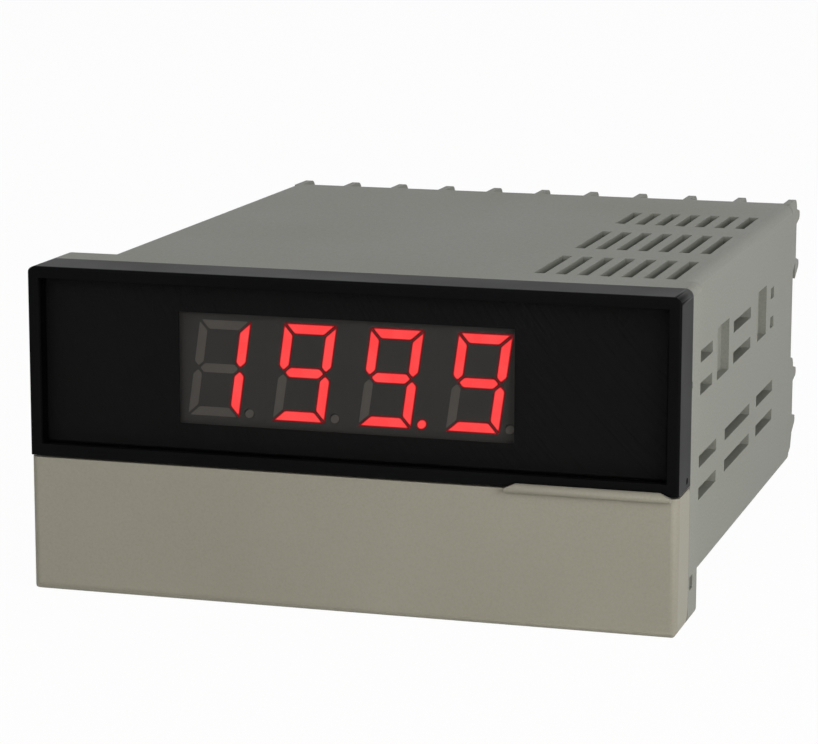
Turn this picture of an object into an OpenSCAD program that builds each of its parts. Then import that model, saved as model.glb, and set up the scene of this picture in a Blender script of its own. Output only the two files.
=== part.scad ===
// Digital panel meter for a 1/8 DIN cut-out: four seven-segment digits behind a smoked window,
// and a flip-down cover over four setting keys.
// X runs across the front, Y from the front towards the terminals and Z up.
// The origin lies under the middle of the meter's whole depth, level with the front's lower edge.

/* [Front] */
// Width of the front
front_w = 96; // [92:1:120]
// Height of the front
front_h = 48; // [47:0.5:60]
// Depth of the frame and cover, up to the flange
front_d = 8; // [8:0.5:10]
// Depth of the housing's flange, up to the panel
flange_d = 6; // [5:0.5:10]
// Corner radius of the front, seen from the front
front_r = 1.2; // [0.8:0.1:2.5]
// Radius of the frame's front edges
edge_r = 0.4; // [0.2:0.1:1.2]
// Radius of the cover's front edges
cover_edge_r = 1.2; // [0.4:0.1:1.3]

/* [Housing] */
// How far the flange stands out beside the housing
flange_side = 3.2; // [2.6:0.1:5]
// How far the flange stands out above and below the housing
flange_top = 1.6; // [1:0.1:2.4]
// Depth from the front to the rear face of the terminal base
case_d = 110.6; // [108:0.1:140]
// Wall of the housing
wall = 2; // [1.6:0.1:2.2]
// Corner radius of the housing
body_r = 1.5; // [0.8:0.1:2]
// Width of each vent in the top and bottom
vent_w = 1.6; // [1:0.1:2.2]
// Distance from one vent to the next
vent_pitch = 3.25; // [2.8:0.05:3.6]
// Vents in each row
vent_count = 7; // [3:1:8]
// Distance from the housing's side to the nearest vent
vent_inset = 2.8; // [2.5:0.1:5]
// Height of each slot in the sides
slot_h = 1.8; // [1:0.1:2.2]
// Distance of the inner slot rows from mid-height
slot_row_in = 5.45; // [4.5:0.05:6]
// Distance of the outer slot rows from mid-height
slot_row_out = 10.3; // [9:0.1:10.6]
// Depth of the pockets that take the mounting brackets
pocket_depth = 1.3; // [0.8:0.1:1.4]
// How far the guide rails stand out from the walls
rail_out = 2; // [1.2:0.1:3]

/* [Window] */
// Height of the part with the window, above the cover
hood_h = 27.8; // [27:0.1:30]
// Width of the rim around the lens
rim_w = 1.7; // [1.2:0.1:2.5]
// Thickness of the lens
lens_t = 2; // [1.5:0.1:2.5]
// How far the lens lies behind the rim
lens_in = 0.25; // [0.1:0.05:0.5]
// Thickness of the printed mask behind the lens
mask_t = 0.2; // [0.1:0.05:0.3]
// Width of the clear area in the mask
clear_w = 49.6; // [46:0.1:52]
// Height of the clear area in the mask
clear_h = 16.15; // [15:0.05:18]
// Thickness of the frame's ledge behind the lens
ledge_t = 1.4; // [1:0.1:2]

/* [Digits] */
// Digits shown, from the left
shown = [1, 9, 9, 9];
// Digit whose decimal point is lit, from the left
point_digit = 3; // [0:1:4]
// Height of a character
char_h = 14.2; // [12:0.1:15]
// Width of a character
char_w = 7.8; // [7:0.1:8.4]
// Width of a segment
seg_w = 1.5; // [1:0.1:1.8]
// Gap between segments
seg_gap = 0.3; // [0.1:0.05:0.4]
// Depth of the coloured resin in a segment
seg_d = 1; // [0.5:0.1:2]
// Slant of the characters
slant = 8; // [0:1:10]
// Height of the characters' middle below the front's upper edge
char_drop = 14.05; // [14:0.05:16]
// Width of a digit module, and distance between modules
module_w = 12.85; // [12.6:0.05:14]
// Height of a digit module
module_h = 19; // [18:0.1:19.2]
// Depth of a digit module
module_d = 8; // [7:0.1:8.4]
// Distance of a character's middle to the left of its module's middle
char_left = 0.6; // [0:0.1:0.8]
// Radius of a decimal point
point_r = 0.75; // [0.5:0.05:0.9]

/* [Cover] */
// Wall of the cover
cover_wall = 1.5; // [1.2:0.1:1.6]
// Gap between the cover and the frame above it
cover_gap = 0.3; // [0.25:0.05:0.5]
// Distance of the hinge axis from the cover's bottom and rear edge
hinge_r = 3.2; // [3:0.1:3.5]
// Radius of the cover's hinge pins
pin_r = 0.8; // [0.6:0.05:0.9]
// Wall around the hinge pins in the frame's ears
ear_wall = 0.55; // [0.4:0.05:0.6]
// Thickness of the frame's ears
ear_t = 1.4; // [1.2:0.1:2]
// Radius of the thumb lip
lip_r = 0.7; // [0.5:0.05:0.9]
// Height of the thumb lip's top above the cover
lip_up = 0.9; // [0.5:0.05:1]
// How far the thumb lip stands out in front
lip_out = 1.1; // [0.8:0.05:1.3]
// Length of the thumb lip
lip_len = 23.6; // [15:0.1:30]
// Length of each sloping end of the thumb lip
lip_slope = 1.8; // [1:0.1:3]
// Distance from the end of the thumb lip to the cover's right edge
lip_inset = 1; // [0.9:0.1:5]

/* [Keys] */
// Width of a key
key_w = 8; // [6:0.1:10]
// Height of a key
key_h = 5; // [4:0.1:6]
// Distance between keys
key_pitch = 18; // [14:0.5:20]
// How far the keys stand out of the key wall
key_out = 0.6; // [0.3:0.1:0.8]
// How far a key moves when it is pressed
key_travel = 0.4; // [0.3:0.05:0.45]
// Thickness of the key wall
key_wall = 1.4; // [1.2:0.1:1.6]
// Width of a key switch
switch_w = 6; // [5:0.1:6.5]
// Height of a key switch's body above the board
switch_d = 1.5; // [1.2:0.1:1.55]
// Radius of a key switch's plunger
plunger_r = 1.4; // [1:0.1:1.8]

/* [Terminals] */
// Distance between terminals
terminal_pitch = 8.7; // [8.3:0.1:8.7]
// Thickness of the barriers between terminals
barrier_t = 1.2; // [0.8:0.1:1.3]
// How far the barriers stand out behind the base
barrier_out = 7; // [5.5:0.1:7]
// How far the barriers' horns stand out behind the barriers
horn_out = 3; // [2.5:0.1:3.5]
// Radius of the horns' tips
horn_r = 0.8; // [0.6:0.1:0.8]
// Distance from the housing's bottom to the top of the lower row's barriers
low_row = 17.35; // [16:0.05:17.8]
// Distance from a barrier's top to its screw's axis
screw_drop = 7.4; // [7:0.1:7.8]
// Thickness of the base's rear plate
base_plate = 2; // [1.6:0.1:3]
// Depth of the base's plug inside the housing
plug_d = 12; // [10:0.5:12]
// Wall of the base's plug
plug_wall = 1.4; // [1:0.1:1.8]
// Width of a contact plate
contact_w = 6.9; // [6:0.1:6.9]
// Height of a contact plate
contact_h = 8.6; // [8.2:0.1:8.8]
// Thickness of a contact plate
contact_t = 1; // [0.8:0.1:1.2]
// Width of a contact's tab
tab_w = 2.4; // [2:0.1:3]
// Thickness of a contact's tab
tab_t = 0.8; // [0.6:0.1:0.8]
// Width of a clamp washer
washer_w = 6.4; // [5.8:0.1:6.8]
// Thickness of a clamp washer
washer_t = 0.8; // [0.6:0.1:1]
// Radius of a terminal screw's shank
screw_r = 1.45; // [1.2:0.05:1.5]
// Radius of a terminal screw's head
screw_head_r = 2.75; // [2.4:0.05:2.9]
// Height of a terminal screw's head
screw_head_h = 2; // [1.6:0.1:2.2]
// Length of a terminal screw's shank
screw_len = 8; // [6:0.5:8]

/* [Boards] */
// Thickness of the boards
board_t = 1.6; // [1.2:0.1:1.6]
// Distance from the board's groove to the walls of the groove
board_play = 0.2; // [0.1:0.05:0.25]
// Width of the transformer's core
core_w = 32; // [26:0.5:34]
// Free height between the transformer and the upper board
core_room = 4.15; // [2:0.05:8]
// Thickness of the transformer's core
core_t = 14; // [10:0.5:18]
// Radius of the large capacitors
cap_r = 5; // [4:0.1:5.5]
// Height of the large capacitors
cap_h = 20; // [12:0.5:24]

/* [Fits] */
// Clearance of parts that are slid or laid into each other
slip = 0.15; // [0.1:0.05:0.2]
// Clearance of a hinge pin in its bore, on the radius
pin_play = 0.05; // [0.02:0.01:0.08]
// Clearance around keys and plungers
key_play = 0.2; // [0.15:0.05:0.25]

/* [Hidden] */
$fn = 48;
eps = 0.01;

// Colours
housing_grey = "#8b8d86";
frame_black = "#1c1c1d";
cover_beige = "#9d998c";
board_green = "#2f6b3f";
tinned = "#c4c6c8";
plated_steel = "#b9b8b0";

// Front plane set so that the whole depth is centred on the origin
horn_y = case_d + barrier_out + horn_out;
front_y = -(horn_y - lip_out) / 2;

// Heights and places that several parts share
body_w = front_w - 2 * flange_side;
body_h = front_h - 2 * flange_top;
mid_z = front_h / 2;
body_z0 = mid_z - body_h / 2;
body_z1 = mid_z + body_h / 2;
inner_w = body_w - 2 * wall;
inner_h = body_h - 2 * wall;
inner_r = 0.5;
panel_y = front_d + flange_d;
seam_y = case_d - base_plate;
plug_y = seam_y - plug_d;
hood_z = front_h - hood_h;
cover_h = hood_z - cover_gap;

// Window and display
lens_w = front_w - 2 * rim_w;
lens_z0 = hood_z + rim_w;
lens_z1 = front_h - rim_w;
pocket_y = lens_in + lens_t + mask_t;
char_z = front_h - char_drop;
clear_lift = 0.5;
digit_count = len(shown);
module_play = 0.25;
opening_w = digit_count * module_w + 8;
board_y = pocket_y + 0.75 + module_d;

// Hinge of the cover
cover_rear = front_d - slip;
hinge_y = cover_rear - hinge_r;
hinge_z = hinge_r;
ear_r = pin_r + pin_play + ear_wall;
ear_x = front_w / 2 - cover_wall - key_play - ear_t;

// Keys
key_wall_y = front_d - key_wall;
key_lip_t = 0.8;
key_lip = 1;
key_rear = front_d + key_play + key_lip_t;
key_r = 1;
key_xs = [for (i = [0:3]) (i - 1.5) * key_pitch];
key_z = (hinge_z + hood_z) / 2;

// Frame's hooks in the flange
hook_t = 1.2;
hook_h = 2.6;
hook_len = 3.6;
nose_out = 0.9;
hook_x = body_w / 2 + 0.4;
hook_low = 5.8;
hook_drop = 13.6;
hook_zs = [hook_low, front_h - hook_drop];

// Terminals
terminals = floor((body_w - barrier_t) / terminal_pitch);
row_tops = [body_z1, body_z0 + low_row];
screw_zs = [row_tops[0] - screw_drop, row_tops[1] - screw_drop];
barrier_h = 13.8;
contact_y = case_d + contact_t;
washer_y = contact_y + washer_t;
boss_r = screw_r + 1.15;
terminal_xs = [for (i = [0:terminals - 1]) (i - (terminals - 1) / 2) * terminal_pitch];
tab_off = contact_h / 2 - tab_t / 2 - 0.5;
tab_zs = [screw_zs[0] + tab_off, screw_zs[1] - tab_off];

// Boards
board_tops = [tab_zs[0] - tab_t / 2, tab_zs[1] - tab_t / 2];
board_w = inner_w - 2 * board_play;
board_y0 = board_y + board_t + 2.2;
board_y1 = plug_y - 0.5;
rail_t = 1.3;
rail_y0 = board_y0 + 1;
rail_y1 = plug_y - 1;

// Latches between the terminal base and the housing
latch_zs = [mid_z + slot_row_in, mid_z + slot_row_out];
latch_y = [plug_y - 7.4, plug_y - 4.4];

// Places along the depth, measured from the front
vent_rows = [[25, 42.5], [50.6, 69.5], [78.6, 92.2]];
upper_slots = [[24, 39.6], [56.4, 71.1]];
lower_slots = [[24, 43.9], [50.7, 71.6], [77.6, 92.5]];
hook_pocket = [43.3, 52.7];
hook_slot = 2.5;
shallow_pocket = [77.2, 85.2];
pocket_z0 = mid_z + 4.4;
pocket_z1 = mid_z + 12.4;

// ---- Helpers ----

// Moves a part from its distances behind the front to its place around the origin
module set_back() {
    translate([0, front_y, 0])
        children();
}

// Outline in X and Z, carried from y0 to y1
module along_y(y0, y1) {
    translate([0, y1, 0])
        rotate([90, 0, 0])
            linear_extrude(y1 - y0)
                children();
}

// Outline in Y and Z, carried from x0 to x1
module along_x(x0, x1) {
    translate([x0, 0, 0])
        rotate([90, 0, 90])
            linear_extrude(x1 - x0)
                children();
}

module both_sides() {
    children();
    mirror([1, 0, 0])
        children();
}

// Rectangle with round corners, centred
module round_rect(w, h, r) {
    square([w - 2 * r, h], center = true);
    square([w, h - 2 * r], center = true);
    for (x = [-1, 1], y = [-1, 1])
        translate([x * (w / 2 - r), y * (h / 2 - r)])
            circle(r = r);
}

// Cylinder along Y
module rod_y(y0, y1, r) {
    translate([0, y1, 0])
        rotate([90, 0, 0])
            cylinder(r = r, h = y1 - y0);
}

// Outline of the front from one direction, with round front corners only
module front_profile(w, d, r) {
    translate([0, r])
        square([w, d - r]);
    translate([r, 0])
        square([w - 2 * r, d]);
    for (x = [r, w - r])
        translate([x, r])
            circle(r = r);
}

// The whole front block, rounded on its corners and by r on its front edges
module front_block(r) {
    intersection() {
        along_y(0, front_d)
            translate([0, mid_z])
                round_rect(front_w, front_h, front_r);
        translate([-front_w / 2, 0, 0])
            linear_extrude(front_h)
                front_profile(front_w, front_d, r);
        translate([front_w / 2, 0, 0])
            rotate([0, -90, 0])
                linear_extrude(front_w)
                    front_profile(front_h, front_d, r);
    }
}

// ---- Housing ----

// Vents in one row, cut through the top and the bottom
module vent_row(span) {
    for (i = [0:vent_count - 1])
        translate([body_w / 2 - vent_inset - vent_w - i * vent_pitch, span[0], body_z0 - eps])
            cube([vent_w, span[1] - span[0], body_h + 2 * eps]);
}

// Slots through one side wall, in rows above and below mid-height
module side_slots(spans, direction) {
    for (span = spans, row = [slot_row_in, slot_row_out])
        translate([inner_w / 2 - eps, span[0], mid_z + direction * row - slot_h / 2])
            cube([wall + 2 * eps, span[1] - span[0], slot_h]);
}

// Pockets in one side for the mounting bracket, the front one with a slot through the wall
module bracket_pockets() {
    floor_x = body_w / 2 - pocket_depth;
    for (span = [hook_pocket, shallow_pocket])
        translate([floor_x, span[0], pocket_z0])
            cube([pocket_depth + eps, span[1] - span[0], pocket_z1 - pocket_z0]);
    translate([inner_w / 2 - eps, hook_pocket[0], pocket_z0])
        cube([wall, hook_slot, pocket_z1 - pocket_z0]);
}

// Windows in one side wall for the terminal base's latches
module latch_windows() {
    for (z = latch_zs)
        translate([inner_w / 2 - eps, latch_y[0], z - slot_h / 2])
            cube([wall + 2 * eps, latch_y[1] - latch_y[0], slot_h]);
}

// Slots in the flange for the frame's hooks, each widened for the hook's nose.
// The lower one opens to the side, and the upper one shows a small notch at the seam.
module hook_slots() {
    for (z = hook_zs) {
        nose_room = z == hook_low ? front_w / 2 - hook_x : hook_t + nose_out + slip;
        translate([hook_x - slip, front_d - eps, z - hook_h / 2 - slip])
            cube([hook_t + 2 * slip, hook_len + 0.5, hook_h + 2 * slip]);
        translate([hook_x, front_d + 0.7, z - 0.95])
            cube([nose_room + eps, 2.2, 1.9]);
    }
    translate([front_w / 2 - 0.8, front_d - eps, hook_zs[1] - 0.5])
        cube([1, 0.6, 1]);
}

// Rails on one side wall, in pairs that hold the edges of the two boards
module guide_rails() {
    for (top = board_tops, z = [top + board_play, top - board_t - board_play - rail_t])
        translate([inner_w / 2 - rail_out, rail_y0, z])
            cube([rail_out + eps, rail_y1 - rail_y0, rail_t]);
}

module housing() {
    color(housing_grey) set_back() difference() {
        union() {
            difference() {
                union() {
                    along_y(front_d, panel_y)
                        translate([0, mid_z])
                            round_rect(front_w, front_h, front_r);
                    along_y(front_d, seam_y)
                        translate([0, mid_z])
                            round_rect(body_w, body_h, body_r);
                }
                along_y(front_d - eps, seam_y + eps)
                    translate([0, mid_z])
                        round_rect(inner_w, inner_h, inner_r);
            }
            both_sides() guide_rails();
        }
        for (span = vent_rows)
            vent_row(span);
        both_sides() {
            side_slots(upper_slots, 1);
            side_slots(lower_slots, -1);
            bracket_pockets();
            latch_windows();
            hook_slots();
        }
    }
}

// ---- Frame, lens and mask ----

// Ear with the bore for one hinge pin
module hinge_ear() {
    difference() {
        along_x(ear_x, ear_x + ear_t) {
            translate([hinge_y, hinge_z])
                circle(r = ear_r);
            polygon([
                [hinge_y, hinge_z],
                [hinge_y, hinge_z + ear_r],
                [key_wall_y + eps, hinge_z + ear_r + 2.5],
                [key_wall_y + eps, hinge_z]
            ]);
        }
        translate([ear_x - eps, hinge_y, hinge_z])
            rotate([0, 90, 0])
                cylinder(r = pin_r + pin_play, h = ear_t + 2 * eps);
    }
}

// Hooks that hold one side of the frame in the flange
module frame_hooks() {
    for (z = hook_zs) {
        translate([hook_x, front_d - 1, z - hook_h / 2])
            cube([hook_t, hook_len + 1, hook_h]);
        translate([hook_x + hook_t - eps, front_d + 1.4, z - 0.7])
            cube([nose_out, 1, 1.4]);
    }
}

// Screw bosses behind the frame, left and right
boss_x = opening_w / 2 + 5;
boss_inset = 7;
boss_zs = [body_z0 + boss_inset, body_z1 - boss_inset];
boss_hole_r = 0.9;

module screw_bosses(r, y0, y1) {
    for (x = [-boss_x, boss_x], z = boss_zs)
        translate([x, 0, z])
            rod_y(y0, y1, r);
}

module front_frame() {
    skirt_w = inner_w - 2 * slip;
    skirt_h = inner_h - 2 * slip;
    skirt_t = 1.2;
    side_w = hook_x + hook_t;
    hood_wall = front_w / 2 - side_w;
    color(frame_black) set_back() difference() {
        union() {
            difference() {
                intersection() {
                    front_block(edge_r);
                    translate([-front_w / 2, 0, hood_z])
                        cube([front_w, front_d, front_h - hood_z]);
                }
                along_y(-eps, pocket_y)
                    translate([0, (lens_z0 + lens_z1) / 2])
                        square([lens_w, lens_z1 - lens_z0], center = true);
                along_y(pocket_y + ledge_t, front_d + eps)
                    translate([-side_w, hood_z + hood_wall])
                        square([2 * side_w, hood_h - 2 * hood_wall]);
            }
            // key wall below the window, inside the cover
            along_y(key_wall_y, front_d)
                translate([-ear_x - ear_t, hinge_z + 0.2])
                    square([2 * (ear_x + ear_t), hood_z - hinge_z + 1]);
            // skirt that enters the housing's mouth
            difference() {
                along_y(front_d - 1, board_y)
                    translate([0, mid_z])
                        square([skirt_w, skirt_h], center = true);
                along_y(front_d - 1 - eps, board_y + eps)
                    translate([0, mid_z])
                        square([skirt_w - 2 * skirt_t, skirt_h - 2 * skirt_t], center = true);
            }
            both_sides()
                translate([skirt_w / 2 - skirt_t, pocket_y + 1, hood_z + 1])
                    cube([skirt_t, board_y - pocket_y - 1, mid_z + skirt_h / 2 - hood_z - 1]);
            screw_bosses(2.4, key_wall_y + 0.5, board_y);
            for (x = [-boss_x, boss_x])
                translate([x, 0, boss_zs[1]])
                    rod_y(pocket_y + 1, board_y, 2.4);
            both_sides() {
                hinge_ear();
                frame_hooks();
            }
        }
        // opening for the digit modules
        along_y(-eps, board_y + eps)
            translate([0, char_z])
                square([opening_w, module_h + 2 * module_play], center = true);
        for (x = key_xs)
            translate([x, 0, key_z])
                along_y(key_wall_y - eps, front_d + eps)
                    round_rect(key_w + 2 * key_play, key_h + 2 * key_play, key_r + key_play);
        screw_bosses(boss_hole_r, front_d + 0.6, board_y + eps);
        // small latch holes in the sides, just above the cover
        both_sides()
            translate([front_w / 2 - 0.8, 5.7, hood_z + 1.1])
                rotate([0, 90, 0])
                    cylinder(r = 0.5, h = 1);
    }
}

module display_window() {
    color("#101012", 0.6) set_back()
        along_y(lens_in, lens_in + lens_t)
            translate([0, (lens_z0 + lens_z1) / 2])
                round_rect(lens_w - 2 * slip, lens_z1 - lens_z0 - 2 * slip, 0.5);
}

module window_mask() {
    color("#0d0d0e") set_back()
        along_y(lens_in + lens_t, pocket_y)
            difference() {
                translate([0, (lens_z0 + lens_z1) / 2])
                    square([lens_w - 2 * slip, lens_z1 - lens_z0 - 2 * slip], center = true);
                translate([0, char_z + clear_lift])
                    square([clear_w, clear_h], center = true);
            }
}

// ---- Cover ----

// Thumb lip: a round bead along the cover's upper edge that reaches up in front of the frame
module thumb_lip() {
    x1 = front_w / 2 - lip_inset;
    x0 = x1 - lip_len;
    top = cover_h + lip_up;
    low = top - 2 * lip_r;
    intersection() {
        along_x(x0, x1)
            difference() {
                translate([lip_r - lip_out, top - lip_r])
                    circle(r = lip_r);
                translate([-cover_gap, cover_h])
                    square([2 * lip_r, 2 * lip_r]);
            }
        along_y(-lip_out - 1, lip_r)
            polygon([
                [x0, low - 1], [x1, low - 1], [x1, cover_h + 0.2], [x1 - lip_slope, top + 0.1],
                [x0 + lip_slope, top + 0.1], [x0, cover_h + 0.2]
            ]);
    }
}

module setting_cover() {
    color(cover_beige) set_back() {
        difference() {
            intersection() {
                front_block(cover_edge_r);
                // side outline: round about the hinge below, eased at the upper rear corner
                along_x(-front_w / 2 - 1, front_w / 2 + 1) {
                    translate([-1, -1])
                        square([hinge_y + 1, cover_h + 1]);
                    translate([-1, hinge_z])
                        square([cover_rear + 1, cover_h - hinge_z - 1]);
                    translate([hinge_y, hinge_z])
                        circle(r = hinge_r);
                    translate([0, cover_h - 2])
                        square([cover_rear - 1, 2]);
                    translate([cover_rear - 1, cover_h - 1])
                        circle(r = 1);
                }
            }
            // inside of the tray, open to the rear and above
            translate([-front_w / 2 + cover_wall, cover_wall, cover_wall])
                cube([front_w - 2 * cover_wall, front_d, cover_h]);
            // the bottom ends in front of the hinge axis
            translate([-front_w / 2 + cover_wall, hinge_y - 0.25, -eps])
                cube([front_w - 2 * cover_wall, front_d, cover_wall + 1]);
        }
        both_sides()
            translate([ear_x + 0.1, hinge_y, hinge_z])
                rotate([0, 90, 0])
                    cylinder(r = pin_r, h = front_w / 2 - cover_wall - ear_x);
        thumb_lip();
    }
}

// ---- Keys ----

// One key with a dished face and a lip that keeps it behind the key wall
module key(index) {
    dish_r = 12;
    key_front = key_wall_y - key_out;
    color("#4a4b4d") set_back() translate([key_xs[index], 0, key_z])
        difference() {
            union() {
                along_y(key_front, front_d + key_play)
                    round_rect(key_w, key_h, key_r);
                along_y(front_d + key_play, key_rear)
                    round_rect(key_w + 2 * key_lip, key_h + 2 * key_lip, key_r);
            }
            translate([0, key_front - dish_r + 0.3, 0])
                sphere(r = dish_r);
        }
}

module plunger(index) {
    color("#b8352c") set_back() translate([key_xs[index], 0, key_z])
        rod_y(key_rear, board_y - key_travel - 0.2, plunger_r);
}

module key_mode() { key(0); }
module key_shift() { key(1); }
module key_down() { key(2); }
module key_up() { key(3); }
module plunger_mode() { plunger(0); }
module plunger_shift() { plunger(1); }
module plunger_down() { plunger(2); }
module plunger_up() { plunger(3); }

module key_switches() {
    color("#2a2b2d") set_back()
        for (x = key_xs)
            translate([x, 0, key_z])
                along_y(board_y - switch_d, board_y)
                    difference() {
                        round_rect(switch_w, switch_w, 0.4);
                        circle(r = plunger_r + 0.15);
                    }
}

// ---- Display ----

module display_board() {
    color(board_green) set_back() difference() {
        along_y(board_y, board_y + board_t)
            translate([0, mid_z])
                square([inner_w - 2 * board_play, inner_h - 2 * board_play], center = true);
        screw_bosses(boss_hole_r + 0.3, board_y - eps, board_y + board_t + eps);
    }
}

module board_screws() {
    color(plated_steel) set_back() {
        screw_bosses(boss_hole_r - 0.05, board_y - 2.2, board_y + board_t);
        screw_bosses(1.9, board_y + board_t, board_y + board_t + 1.2);
    }
}

// Outlines of the segments, named a to g as usual, upright and centred on the character
half_w = char_w / 2;
half_h = char_h / 2;
gap = seg_gap / 2;
tip = seg_w / 2;
function bar_top() = [
    [-half_w + gap, half_h], [half_w - gap, half_h],
    [half_w - seg_w - gap, half_h - seg_w], [-half_w + seg_w + gap, half_h - seg_w]
];
function bar_middle() = [
    [-half_w + tip + gap, 0], [-half_w + seg_w + gap, tip], [half_w - seg_w - gap, tip],
    [half_w - tip - gap, 0], [half_w - seg_w - gap, -tip], [-half_w + seg_w + gap, -tip]
];
function bar_right() = [
    [half_w, half_h - gap], [half_w - seg_w, half_h - seg_w - gap],
    [half_w - seg_w, tip + gap], [half_w - tip, gap], [half_w, tip + gap]
];
function flip(points, x, y) = [for (p = points) [p[0] * x, p[1] * y]];
function lean(points) = [for (p = points) [p[0] + p[1] * tan(slant), p[1]]];
function segment(name) =
    name == "a" ? bar_top() :
    name == "b" ? bar_right() :
    name == "c" ? flip(bar_right(), 1, -1) :
    name == "d" ? flip(bar_top(), 1, -1) :
    name == "e" ? flip(bar_right(), -1, -1) :
    name == "f" ? flip(bar_right(), -1, 1) :
    bar_middle();
segments_of = ["abcdef", "bc", "abdeg", "abcdg", "bcfg", "acdfg", "acdefg", "abc", "abcdefg", "abcdfg"];
function is_lit(digit, name) = len(search(name, segments_of[shown[digit]])) > 0;
function module_x(digit) = (digit - (digit_count - 1) / 2) * module_w;

// Segments of one digit that are lit, or that are not
module segments_where(digit, lit) {
    translate([module_x(digit) - char_left, char_z]) {
        for (name = ["a", "b", "c", "d", "e", "f", "g"])
            if (is_lit(digit, name) == lit)
                polygon(lean(segment(name)));
        if ((digit + 1 == point_digit) == lit)
            translate([half_w + point_r + 0.1 - half_h * tan(slant) + 0.8, -half_h + point_r])
                circle(r = point_r);
    }
}

module led_digit(digit) {
    front = board_y - module_d;
    color("#3a3a3b") set_back() difference() {
        along_y(front, board_y)
            translate([module_x(digit), char_z])
                square([module_w - 0.1, module_h], center = true);
        along_y(front - eps, front + seg_d) {
            segments_where(digit, true);
            segments_where(digit, false);
        }
    }
}

module led_digit_1() { led_digit(0); }
module led_digit_2() { led_digit(1); }
module led_digit_3() { led_digit(2); }
module led_digit_4() { led_digit(3); }

module segments_all(lit) {
    front = board_y - module_d;
    set_back() along_y(front, front + seg_d)
        for (digit = [0:digit_count - 1])
            segments_where(digit, lit);
}

module lit_segments() {
    color("#ff3a3a") segments_all(true);
}

module unlit_segments() {
    color("#5a5856") segments_all(false);
}

// Soldered ends of the digit modules' pins behind the display board
module digit_pins() {
    color(tinned) set_back()
        for (digit = [0:digit_count - 1], column = [-2:2], row = [-1, 1])
            translate([module_x(digit) + column * 2.54 * 0.9, board_y + board_t, char_z + row * 7.62])
                rotate([-90, 0, 0])
                    cylinder(r1 = 0.7, r2 = 0.25, h = 1.2);
}

module processor_chip() {
    chip_y = board_y + board_t;
    chip_x = opening_w / 2 + 3;
    color("#202124") set_back() translate([chip_x, 0, mid_z]) {
        along_y(chip_y + 0.2, chip_y + 1.6)
            round_rect(10, 10, 0.3);
        for (turn = [0:90:270], i = [-4:4])
            translate([0, chip_y, 0])
                rotate([0, turn, 0])
                    translate([4.9, 0, i * 1 - 0.2])
                        cube([1.4, 0.5, 0.4]);
    }
}

// ---- Boards inside the housing ----

module flat_board(top) {
    color(board_green) set_back()
        translate([-board_w / 2, board_y0, top - board_t])
            cube([board_w, board_y1 - board_y0, board_t]);
}

module upper_board() { flat_board(board_tops[0]); }
module lower_board() { flat_board(board_tops[1]); }

// Angled pin headers that join each flat board to the display board
header_pins = 10;
header_w = header_pins * 2.54;
header_h = 2.5;

module link_headers() {
    color("#222326") set_back()
        for (z = [board_tops[0] - board_t - header_h, board_tops[1]])
            translate([-header_w / 2, board_y0 + 0.5, z])
                cube([header_w, 2.5, header_h]);
}

module link_pins() {
    color(tinned) set_back()
        for (z = [board_tops[0] - board_t - header_h / 2, board_tops[1] + header_h / 2])
            for (i = [0:header_pins - 1])
                translate([(i - (header_pins - 1) / 2) * 2.54, 0, z])
                    rod_y(board_y + board_t, board_y0 + 0.5, 0.32);
}

// Transformer on the lower board, to the left
core_x = -board_w / 2 + core_w / 2 + 8;
core_y = 62;
core_lift = 2;
core_z = board_tops[1] + core_lift;
core_h = board_tops[0] - board_t - core_z - core_room;
leg_w = core_w / 3;
window_h = core_h - leg_w;
window_w = leg_w / 2;

module at_transformer() {
    set_back() translate([core_x, core_y, core_z])
        children();
}

module transformer_core() {
    color("#55575a") at_transformer()
        along_y(-core_t / 2, core_t / 2)
            difference() {
                translate([-core_w / 2, 0])
                    square([core_w, core_h]);
                for (x = [-leg_w / 2 - window_w, leg_w / 2])
                    translate([x, leg_w / 2])
                        square([window_w, window_h]);
            }
}

// Ring around the core's middle leg, from z0 to z1
module leg_ring(inner, outer, z0, z1) {
    translate([0, 0, z0])
        linear_extrude(z1 - z0)
            difference() {
                square([leg_w + 2 * outer, core_t + 2 * outer], center = true);
                square([leg_w + 2 * inner, core_t + 2 * inner], center = true);
            }
}

module transformer_bobbin() {
    z0 = leg_w / 2 + 0.1;
    z1 = leg_w / 2 + window_h - 0.1;
    ring = window_w - 0.2;
    foot_d = 3.2;
    color("#1f2d3a") at_transformer() {
        leg_ring(0.1, 0.9, z0, z1);
        leg_ring(0.1, ring, z0, z0 + 0.9);
        leg_ring(0.1, ring, z1 - 0.9, z1);
        // feet in front of and behind the core, with the soldering pins' bar
        for (side = [-1, 1])
            translate([-leg_w, side * (core_t / 2 + foot_d / 2 + 0.6) - foot_d / 2, -core_lift])
                cube([2 * leg_w, foot_d, z0 + core_lift + 0.3]);
    }
}

module transformer_winding() {
    z0 = leg_w / 2 + 1.1;
    z1 = leg_w / 2 + window_h - 1.1;
    color("#c9a227") at_transformer()
        leg_ring(1, window_w - 0.5, z0, z1);
}

// Places of the large capacitors, one behind the other, and of the small one beside them
cap_x = 12;
cap_y = 40;
cap_gap = 4;
small_cap_r = cap_r - 1;
small_cap_h = cap_h * 0.7;

// Radial capacitor standing on the lower board, crimped below its lid
module capacitor(x, y, r, h) {
    translate([x, y, board_tops[1]])
        rotate_extrude()
            polygon([
                [0, 0], [r - 0.4, 0], [r, 0.4], [r, 1.6], [r - 0.5, 2], [r, 2.4],
                [r, h - 0.4], [r - 0.4, h], [r - 1, h], [r - 1, h - 0.3], [0, h - 0.3]
            ]);
}

module filter_capacitors() {
    color("#23242a") set_back() {
        capacitor(cap_x, cap_y, cap_r, cap_h);
        capacitor(cap_x, cap_y + 2 * cap_r + cap_gap, cap_r, cap_h);
        capacitor(cap_x + 3.2 * cap_r, cap_y - 1.2 * cap_r, small_cap_r, small_cap_h);
    }
}

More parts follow.
